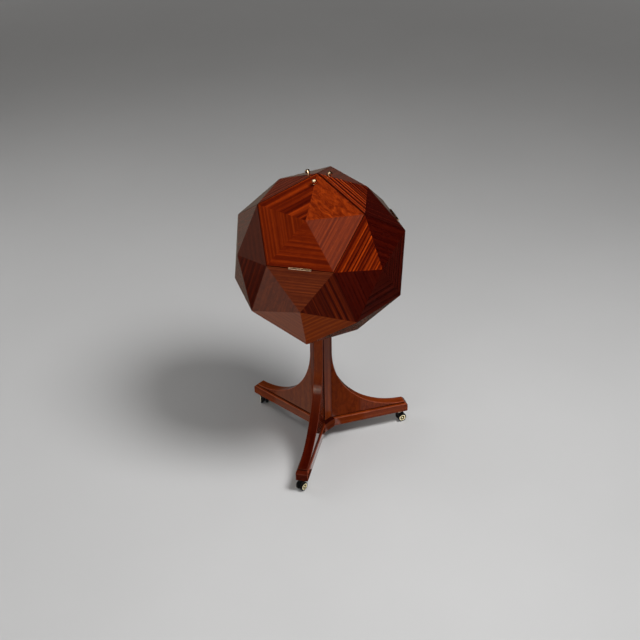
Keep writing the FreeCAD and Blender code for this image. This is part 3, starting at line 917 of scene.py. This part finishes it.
def cap_finish(radius):
    """A castor cap's rim is black, its ring and hub are bright and its dish is near black: painted shade for
    its recess.
    """
    if radius > CAP_RIM * MM:
        return BLACK
    return DISH_SHADE if CAP_DISH[0] * MM < radius < CAP_DISH[1] * MM else BRIGHT


def knob_piece(place, azimuth):
    """A knob upright on the ridge below the top corner, sunk until its foot meets both facets."""
    corners = flap_corners(azimuth, 1)
    tip = corners[0]
    apex = apex_of(corners)
    ridge = (apex - tip).normalized()
    axis = ridge.cross(towards(azimuth + 90, 0)).normalized()
    facet = (corners[1] - tip).cross(apex - tip).normalized()
    slope = math.tan(math.acos(min(1.0, abs(facet.dot(axis)))))
    seat = CENTRE + tip + ridge * KNOB_FROM_CORNER - axis * (KNOB_FOOT * MM * slope)
    piece = turned_piece("turned_knob_" + place, rounded(KNOB_OUTLINE, KNOB_ROUNDING), seat, axis, [brass])
    brass_pieces.objects.link(piece)
    place_piece(piece, place + "_flap", "brass", "knob_" + place)


def wheel_piece(place, side, sign):
    """A castor wheel's tyre and cap about the joint's axis; the sign turns the cap outwards."""
    body = f"{place}_castor_{side}_wheel"
    joint = joints[body + "_spin"]
    axis = Vector(joint["axis"]) * sign
    hub = Vector(joint["pos_m"])
    tyre = turned_piece("tyre_" + body, rounded(WHEEL_OUTLINE, WHEEL_ROUNDING), hub, axis, [black_wheel])
    place_piece(tyre, body, "wheel_black", body)
    outline = rounded(CAP_OUTLINE, CAP_ROUNDING)
    disc = turned_piece("disc_" + body, outline, hub, axis, CAP_MATERIALS, cap_finish)
    brass_pieces.objects.link(disc)
    place_piece(disc, body, "brass", f"{place}_castor_{side}_cap")


for place, azimuth in PLACES.items():
    knob_piece(place, azimuth)
    wheel_piece(place, "left", 1)
    wheel_piece(place, "right", -1)

# Other metal and plastic pieces keep their CAD forms
for name, node in nodes.items():
    if node.hide_render:
        continue
    if name.endswith("_castor_body"):
        material = black_body
    elif name.startswith("tie_rod") or name.endswith("_axle"):
        material = steel
    else:
        material = hinge_brass if name.startswith("hinge") else brass
        brass_pieces.objects.link(node)
    all_pieces.objects.link(node)
    node.data.materials.clear()
    node.data.materials.append(material)

# Camera, fitted to the corners of the body
VIEW_AZIMUTH = 13.0872
VIEW_ELEVATION = 30.8074
VIEW_DISTANCE = 21.8105 * EDGE
VIEW_TILT = -2.6386
VIEW_ROLL = 1.107
FOCAL_PIXELS = 1421.0355
PICTURE_PIXELS = 640
SENSOR = 36.0


def turned(vector, axis, degrees):
    return Matrix.Rotation(math.radians(degrees), 3, axis) @ vector


back = towards(VIEW_AZIMUTH - 90, VIEW_ELEVATION)
right = towards(VIEW_AZIMUTH, 0)
forward = turned(-back, right, VIEW_TILT)
upward = turned(back.cross(right), right, VIEW_TILT)
right, upward = turned(right, forward, VIEW_ROLL), turned(upward, forward, VIEW_ROLL)
camera = linked("camera", bpy.data.cameras.new("camera"))
facing = Matrix((right, upward, -forward)).transposed().to_4x4()
camera.matrix_world = Matrix.Translation(CENTRE + back * VIEW_DISTANCE) @ facing
camera.data.sensor_width = SENSOR
camera.data.lens = FOCAL_PIXELS / PICTURE_PIXELS * SENSOR
bpy.context.scene.camera = camera

# Floor and backdrop, in metres

STUDIO_GREY = 0.62
FLOOR_CORNERS = [(-12, -8, 0), (12, -8, 0), (12, 16, 0), (-12, 16, 0)]
# The studio's own light far away: how strong it gets, where it begins and where it is full
FAR_LIGHT = 0.36
FAR_FROM = 2.9
FAR_TO = 9.0
# The only parts of the floor that show in the lacquer and the brass: the middle's x and y, the
# radius and the grey
NEAR_FLOORS = {
    "near_floor_right": (0.48, 0.20, 0.34, 0.22),
    "near_floor_left": (-0.36, 0.31, 0.26, 0.22),
    "near_floor_front": (0.035, -0.09, 0.10, 0.75),
}
NEAR_FLOOR_HEIGHT = 0.0003
NEAR_FLOOR_STEP = 6
# The round wall: where it leaves the floor, the radius of its bend and its height
WALL_START = 6.0
WALL_BEND = 2.0
WALL_HEIGHT = 9.0
WALL_SIDES = 96
BEND_STEPS = 12


def paper_material(name, grey, far_light=0.0):
    """Plain paper, with a soft light of its own that grows with the distance if it is the studio's."""
    material, g = new_material(name)
    place = g.add("ShaderNodeTexCoord").outputs["Object"]
    cloud = g.noise(place, 1.2, 3.0)
    shadow = 0.9 * grey
    tint = g.mix(cloud, (grey, grey, grey, 1.0), (shadow, shadow, shadow, 1.0))
    shader = g.add("ShaderNodeBsdfPrincipled", {"Base Color": tint})
    shader.inputs["Roughness"].default_value = 0.9
    shader.inputs["Specular IOR Level"].default_value = 0.1
    if far_light:
        distance = g.add("ShaderNodeVectorMath", {0: place}, operation="LENGTH").outputs["Value"]
        shader.inputs["Emission Color"].default_value = (1.0, 1.0, 1.0, 1.0)
        g.put(shader, "Emission Strength", g.spread(distance, FAR_FROM, FAR_TO, 0.0, far_light))
    g.surface(shader)
    return material


def floor_sheet(name, outline, grey, far_light=0.0):
    mesh = bpy.data.meshes.new(name)
    mesh.from_pydata(outline, [], [list(range(len(outline)))])
    mesh.materials.append(paper_material(name, grey, far_light))
    sheet = linked(name, mesh)
    return sheet


def near_floor(name, x, y, radius, grey):
    """A round sheet just above the floor, only for the lacquer and the brass to mirror."""
    middle = Vector((x, y, NEAR_FLOOR_HEIGHT))
    outline = [middle + polar(radius, turn, 0) for turn in range(0, 360, NEAR_FLOOR_STEP)]
    sheet = floor_sheet(name, outline, grey)
    sheet.visible_camera = False
    sheet.visible_diffuse = False
    sheet.visible_shadow = False


def backdrop():
    """A round wall that curves up from the floor, only for the camera to look at."""
    bend = [math.pi / 2 * step / BEND_STEPS for step in range(BEND_STEPS + 1)]
    outline = [(WALL_START + WALL_BEND * math.sin(a), WALL_BEND * (1 - math.cos(a))) for a in bend]
    outline.append((WALL_START + WALL_BEND, WALL_HEIGHT))
    points = []
    for radius, z in outline:
        points += [polar(radius, 360 * i / WALL_SIDES, z) for i in range(WALL_SIDES)]
    faces = []
    for low in range(0, len(points) - WALL_SIDES, WALL_SIDES):
        high = low + WALL_SIDES
        for i in range(WALL_SIDES):
            j = (i + 1) % WALL_SIDES
            faces.append([low + i, low + j, high + j, high + i])
    mesh = bpy.data.meshes.new("backdrop")
    mesh.from_pydata(points, [], faces)
    for polygon in mesh.polygons:
        polygon.use_smooth = True
    mesh.materials.append(paper_material("backdrop", STUDIO_GREY, FAR_LIGHT))
    wall = linked("backdrop", mesh)
    wall.visible_glossy = False
    wall.visible_diffuse = False
    wall.visible_shadow = False


floor = floor_sheet("floor", FLOOR_CORNERS, STUDIO_GREY, FAR_LIGHT)
floor.visible_glossy = False
for name, values in NEAR_FLOORS.items():
    near_floor(name, *values)
backdrop()

# Light

# Large lights that show in no reflection: azimuth and elevation in degrees, distance and size in
# metres, and power in watts
LIGHTS = {
    "key_light": (-20, 60, 3.2, 1.25, 97),
    "top_fill": (-100, 80, 3.2, 3.0, 13),
    "front_fill": (-105, 16, 3.4, 2.0, 23),
    "low_right_fill": (-58, 9, 3.4, 1.0, 7),
    "low_left_fill": (-136, 5, 3.4, 1.0, 4),
    "left_fill": (172, 28, 3.0, 2.4, 20),
    "back_fill": (85, 32, 3.6, 2.4, 26),
}
LIGHT_CENTRE = Vector((0, 0, 0.5))
WARM = (1.0, 0.88, 0.72)
TOP_CORNER = CENTRE + Vector((0, 0, REACH))
FRONT_BEND = Vector((0, -0.0545, 0.262))
# Small ones that only show in some pieces: azimuth, elevation, half of their angle, brightness,
# where they are seen from and in which pieces
GLINTS = {
    "left_knob_glint": (-58, 9, 14, 4.5, TOP_CORNER, brass_pieces),
    "right_knob_glint": (-136, 5, 15, 2.4, TOP_CORNER, brass_pieces),
    "front_knob_glint": (142, 76, 13, 1.5, TOP_CORNER, brass_pieces),
    "front_fin_glint": (-103, 12, 2.4, 3.0, FRONT_BEND, front_fin),
    "front_fin_sheen": (-103, 12, 6.0, 0.9, FRONT_BEND, front_fin),
}
GLINT_DISTANCE = 3.0
# The pale floor that the brass mirrors, as a light of its own
FLOOR_GLOW_HEIGHT = 0.001
FLOOR_GLOW_SIZE = 3.0
FLOOR_GLOW_POWER = 18


def area_light(name, azimuth, elevation, distance, size, power):
    light = bpy.data.lights.new(name, "AREA")
    light.shape = "DISK"
    light.size = size
    light.energy = power
    lamp = linked(name, light)
    aim = towards(azimuth, elevation)
    lamp.rotation_mode = "QUATERNION"
    lamp.rotation_quaternion = UPRIGHT.rotation_difference(aim)
    lamp.location = LIGHT_CENTRE + aim * distance
    lamp.visible_glossy = False
    return lamp


def show_only_in(lamp, pieces):
    """Makes a light that some pieces mirror and that nothing else sees."""
    lamp.visible_glossy = True
    lamp.visible_diffuse = False
    lamp.visible_camera = False
    lamp.light_linking.receiver_collection = pieces


def glint(name, azimuth, elevation, half_angle, brightness, target, pieces):
    radius = GLINT_DISTANCE * math.tan(math.radians(half_angle))
    power = brightness * (math.pi * radius) ** 2
    lamp = area_light(name, azimuth, elevation, GLINT_DISTANCE, 2 * radius, power)
    lamp.location = target + towards(azimuth, elevation) * GLINT_DISTANCE
    lamp.data.color = WARM
    show_only_in(lamp, pieces)


lamps = {name: area_light(name, *values) for name, values in LIGHTS.items()}
lamps["back_fill"].light_linking.receiver_collection = all_pieces
for name, values in GLINTS.items():
    glint(name, *values)
below = LIGHT_CENTRE.z - FLOOR_GLOW_HEIGHT
floor_glow = area_light("floor_glow", 0, -90, below, FLOOR_GLOW_SIZE, FLOOR_GLOW_POWER)
show_only_in(floor_glow, brass_pieces)

# What lacquer and brass see in other directions: a dim studio with soft pale areas, each with its
# azimuth, elevation, the angles where it begins to fade and is gone, and its strength
DIM = 0.012
GLOWS = [
    (-53, 60, 8, 20, 0.35),
    (-145, -48, 14, 26, 0.36),
    (-103, -23, 6, 16, 0.10),
    (152, -9, 17, 24, 0.13),
    (112, -24, 8, 30, 0.11),
    (-172, -70, 6, 16, 0.30),
]

world = bpy.data.worlds.new("studio")
bpy.context.scene.world = world
world.use_nodes = True
studio = Graph(world.node_tree)
looking = studio.add("ShaderNodeTexCoord").outputs["Generated"]


def glow(azimuth, elevation, inner, outer, strength):
    aim = towards(azimuth, elevation)
    facing = studio.add("ShaderNodeVectorMath", {0: looking, 1: aim}, operation="DOT_PRODUCT")
    edge = math.cos(math.radians(outer))
    middle = math.cos(math.radians(inner))
    return studio.spread(facing.outputs["Value"], edge, middle, 0.0, strength)


light_seen = studio.total(DIM, *(glow(*values) for values in GLOWS))
warm_light = studio.add("ShaderNodeVectorMath", {0: light_seen, 1: WARM}, operation="MULTIPLY")
background = studio.add("ShaderNodeBackground", {"Color": warm_light.outputs[0]})
background.inputs["Strength"].default_value = 1.0
world_out = studio.add("ShaderNodeOutputWorld")
studio.tree.links.new(background.outputs[0], world_out.inputs[0])
bpy.context.scene.view_settings.view_transform = "Standard"
